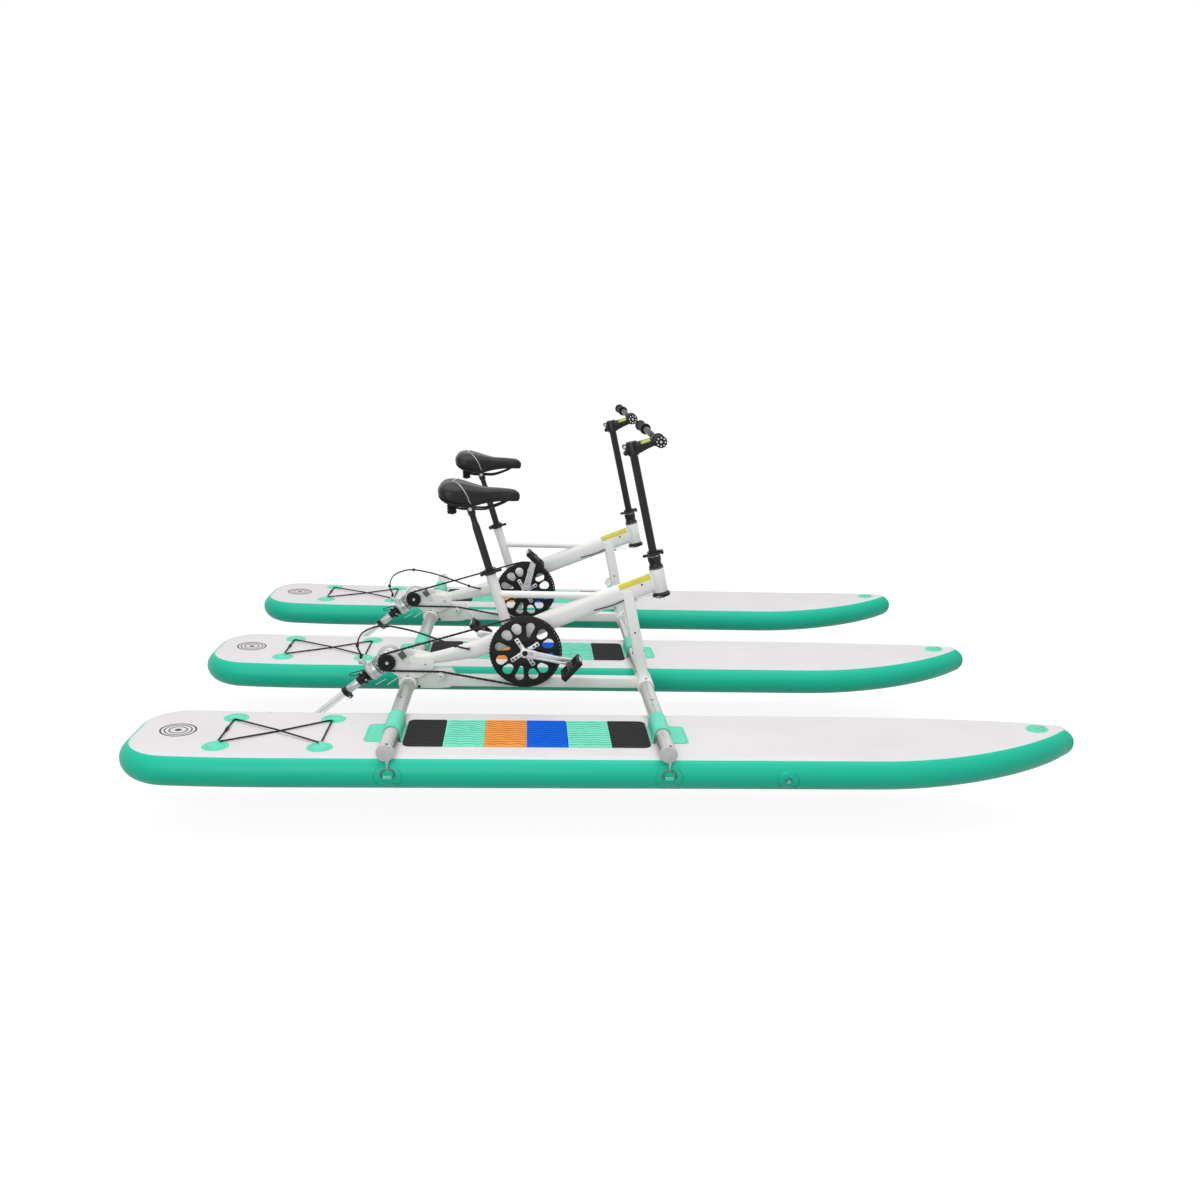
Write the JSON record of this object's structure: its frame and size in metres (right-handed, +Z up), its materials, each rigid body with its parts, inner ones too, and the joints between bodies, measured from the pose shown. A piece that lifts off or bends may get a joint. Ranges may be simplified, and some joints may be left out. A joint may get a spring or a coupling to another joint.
{
  "type": "water bike",
  "caption": "Inflatable pedal catamaran: floats under cross tubes, side-by-side pedal frames with saddle, handlebar, chain drive, and a tilting, steering propeller leg.",
  "frame": {"origin": "centre of the middle float's flat underside, halfway along its length", "axes": "+X towards the bow, +Y to port, +Z up"},
  "size_m": [3.03, 2.3, 1.2124],
  "materials": {
    "bare_tube": "satin anodised, black end caps",
    "black_metal": "black anodised",
    "black_plastic": "textured black",
    "cast_metal": "satin grey",
    "cord": "braided black",
    "deck_foam": "ribbed foam mat in six colour blocks",
    "float_skin": "satin coated fabric",
    "frame_paint": "gloss white",
    "grip_rubber": "matt black",
    "polished_metal": "polished",
    "saddle_cover": "black vinyl with silver piping",
    "webbing": "coated webbing"
  },
  "bodies": {
    "floats_and_frames": {"centre_float": "float_skin", "centre_float_bungee": "cord", "centre_float_deck_pad": "deck_foam", "centre_float_front_strap": "webbing", "centre_float_rear_strap": "webbing", "front_cross_tube": "bare_tube", "left_float": "float_skin", "left_float_bungee": "cord", "left_float_deck_pad": "deck_foam", "left_float_front_strap": "webbing", "left_float_rear_strap": "webbing", "rear_cross_tube": "bare_tube", "right_float": "float_skin", "right_float_bungee": "cord", "right_float_deck_pad": "deck_foam", "right_float_front_strap": "webbing", "right_float_rear_strap": "webbing", "right_bike_frame": "frame_paint", "right_bike_seat_clamp": "black_metal", "right_bike_chain": "black_metal", "right_bike_steering_cables": "cord", "left_bike_frame": "frame_paint", "left_bike_seat_clamp": "black_metal", "left_bike_chain": "black_metal", "left_bike_steering_cables": "cord"},
    "right_bike_steering_column": {"right_bike_steering_column": "black_metal"},
    "right_bike_handlebar": {"right_bike_handlebar_post": "black_metal", "right_bike_handlebar": "black_metal", "right_bike_right_grip": "grip_rubber", "right_bike_left_grip": "grip_rubber"},
    "right_bike_post_lever": {"right_bike_post_lever": "black_metal"},
    "right_bike_seat": {"right_bike_seat_post": "black_metal", "right_bike_saddle": "saddle_cover"},
    "right_bike_seat_lever": {"right_bike_seat_lever": "black_metal"},
    "right_bike_crank": {"right_bike_chainring": "black_metal", "right_bike_crankset": "polished_metal"},
    "right_bike_right_pedal": {"right_bike_right_pedal": "black_plastic"},
    "right_bike_left_pedal": {"right_bike_left_pedal": "black_plastic"},
    "right_bike_drive_sprocket": {"right_bike_drive_sprocket": "black_metal"},
    "right_bike_gearbox": {"right_bike_gearbox": "cast_metal"},
    "right_bike_drive_leg": {"right_bike_drive_leg": "cast_metal"},
    "right_bike_propeller": {"right_bike_propeller": "black_plastic"},
    "left_bike_steering_column": {"left_bike_steering_column": "black_metal"},
    "left_bike_handlebar": {"left_bike_handlebar_post": "black_metal", "left_bike_handlebar": "black_metal", "left_bike_right_grip": "grip_rubber", "left_bike_left_grip": "grip_rubber"},
    "left_bike_post_lever": {"left_bike_post_lever": "black_metal"},
    "left_bike_seat": {"left_bike_seat_post": "black_metal", "left_bike_saddle": "saddle_cover"},
    "left_bike_seat_lever": {"left_bike_seat_lever": "black_metal"},
    "left_bike_crank": {"left_bike_chainring": "black_metal", "left_bike_crankset": "polished_metal"},
    "left_bike_right_pedal": {"left_bike_right_pedal": "black_plastic"},
    "left_bike_left_pedal": {"left_bike_left_pedal": "black_plastic"},
    "left_bike_drive_sprocket": {"left_bike_drive_sprocket": "black_metal"},
    "left_bike_gearbox": {"left_bike_gearbox": "cast_metal"},
    "left_bike_drive_leg": {"left_bike_drive_leg": "cast_metal"},
    "left_bike_propeller": {"left_bike_propeller": "black_plastic"}
  },
  "joints": [
    {"name": "right_bike_steering", "type": "hinge", "parent": "floats_and_frames", "child": "right_bike_steering_column", "pos_m": [0.19, -0.46, 0.47], "axis": [-0.2368, 0, 0.9715], "range_deg": [-40, 40]},
    {"name": "right_bike_handlebar_height", "type": "slide", "parent": "right_bike_steering_column", "child": "right_bike_handlebar", "axis": [-0.2368, 0, 0.9715], "range_m": [-0.05, 0.03]},
    {"name": "right_bike_post_lever_turn", "type": "hinge", "parent": "right_bike_steering_column", "child": "right_bike_post_lever", "pos_m": [0.18492, -0.4748, 0.61749], "axis": [-0.2368, 0, 0.9715], "range_deg": [0, 120]},
    {"name": "right_bike_seat_height", "type": "slide", "parent": "floats_and_frames", "child": "right_bike_seat", "axis": [-0.3007, 0, 0.9537], "range_m": [-0.08, 0.04]},
    {"name": "right_bike_seat_lever_turn", "type": "hinge", "parent": "floats_and_frames", "child": "right_bike_seat_lever", "pos_m": [-0.44547, -0.4748, 0.52438], "axis": [0.3007, 0, -0.9537], "range_deg": [0, 120]},
    {"name": "right_bike_crank_turn", "type": "hinge", "parent": "floats_and_frames", "child": "right_bike_crank", "pos_m": [-0.29, -0.46, 0.2575], "axis": [0, 1, 0], "continuous": true},
    {"name": "right_bike_right_pedal_turn", "type": "hinge", "parent": "right_bike_crank", "child": "right_bike_right_pedal", "pos_m": [-0.12803, -0.46, 0.22602], "axis": [0, 1, 0], "continuous": true},
    {"name": "right_bike_left_pedal_turn", "type": "hinge", "parent": "right_bike_crank", "child": "right_bike_left_pedal", "pos_m": [-0.45197, -0.46, 0.28898], "axis": [0, 1, 0], "continuous": true},
    {"name": "right_bike_sprocket_turn", "type": "hinge", "parent": "floats_and_frames", "child": "right_bike_drive_sprocket", "pos_m": [-0.771, -0.46, 0.212], "axis": [0, 1, 0], "continuous": true},
    {"name": "right_bike_leg_tilt", "type": "hinge", "parent": "floats_and_frames", "child": "right_bike_gearbox", "pos_m": [-0.771, -0.46, 0.212], "axis": [0, 1, 0], "range_deg": [0, 75], "deforming": ["right_bike_steering_cables"]},
    {"name": "right_bike_leg_steer", "type": "hinge", "parent": "right_bike_gearbox", "child": "right_bike_drive_leg", "pos_m": [-0.771, -0.46, 0.212], "axis": [0.766, 0, 0.6428], "range_deg": [-52, 52]},
    {"name": "right_bike_propeller_turn", "type": "hinge", "parent": "right_bike_drive_leg", "child": "right_bike_propeller", "pos_m": [-1.12491, -0.46, -0.08497], "axis": [1, 0, 0], "continuous": true},
    {"name": "left_bike_steering", "type": "hinge", "parent": "floats_and_frames", "child": "left_bike_steering_column", "pos_m": [0.19, 0.46, 0.47], "axis": [-0.2368, 0, 0.9715], "range_deg": [-40, 40]},
    {"name": "left_bike_handlebar_height", "type": "slide", "parent": "left_bike_steering_column", "child": "left_bike_handlebar", "axis": [-0.2368, 0, 0.9715], "range_m": [-0.05, 0.03]},
    {"name": "left_bike_post_lever_turn", "type": "hinge", "parent": "left_bike_steering_column", "child": "left_bike_post_lever", "pos_m": [0.18492, 0.4452, 0.61749], "axis": [-0.2368, 0, 0.9715], "range_deg": [0, 120]},
    {"name": "left_bike_seat_height", "type": "slide", "parent": "floats_and_frames", "child": "left_bike_seat", "axis": [-0.3007, 0, 0.9537], "range_m": [-0.08, 0.04]},
    {"name": "left_bike_seat_lever_turn", "type": "hinge", "parent": "floats_and_frames", "child": "left_bike_seat_lever", "pos_m": [-0.44547, 0.4452, 0.52438], "axis": [0.3007, 0, -0.9537], "range_deg": [0, 120]},
    {"name": "left_bike_crank_turn", "type": "hinge", "parent": "floats_and_frames", "child": "left_bike_crank", "pos_m": [-0.29, 0.46, 0.2575], "axis": [0, 1, 0], "continuous": true},
    {"name": "left_bike_right_pedal_turn", "type": "hinge", "parent": "left_bike_crank", "child": "left_bike_right_pedal", "pos_m": [-0.25008, 0.46, 0.4176], "axis": [0, 1, 0], "continuous": true},
    {"name": "left_bike_left_pedal_turn", "type": "hinge", "parent": "left_bike_crank", "child": "left_bike_left_pedal", "pos_m": [-0.32992, 0.46, 0.0974], "axis": [0, 1, 0], "continuous": true},
    {"name": "left_bike_sprocket_turn", "type": "hinge", "parent": "floats_and_frames", "child": "left_bike_drive_sprocket", "pos_m": [-0.771, 0.46, 0.212], "axis": [0, 1, 0], "continuous": true},
    {"name": "left_bike_leg_tilt", "type": "hinge", "parent": "floats_and_frames", "child": "left_bike_gearbox", "pos_m": [-0.771, 0.46, 0.212], "axis": [0, 1, 0], "range_deg": [0, 75], "deforming": ["left_bike_steering_cables"]},
    {"name": "left_bike_leg_steer", "type": "hinge", "parent": "left_bike_gearbox", "child": "left_bike_drive_leg", "pos_m": [-0.771, 0.46, 0.212], "axis": [0.766, 0, 0.6428], "range_deg": [-52, 52]},
    {"name": "left_bike_propeller_turn", "type": "hinge", "parent": "left_bike_drive_leg", "child": "left_bike_propeller", "pos_m": [-1.12491, 0.46, -0.08497], "axis": [1, 0, 0], "continuous": true}
  ],
  "couplings": [
    {"joint": "right_bike_sprocket_turn", "follows": "right_bike_crank_turn", "ratio": 4.4286},
    {"joint": "right_bike_propeller_turn", "follows": "right_bike_crank_turn", "ratio": 8.8571},
    {"joint": "right_bike_leg_steer", "follows": "right_bike_steering", "ratio": -1.28},
    {"joint": "left_bike_sprocket_turn", "follows": "left_bike_crank_turn", "ratio": 4.4286},
    {"joint": "left_bike_propeller_turn", "follows": "left_bike_crank_turn", "ratio": 8.8571},
    {"joint": "left_bike_leg_steer", "follows": "left_bike_steering", "ratio": -1.28}
  ]
}
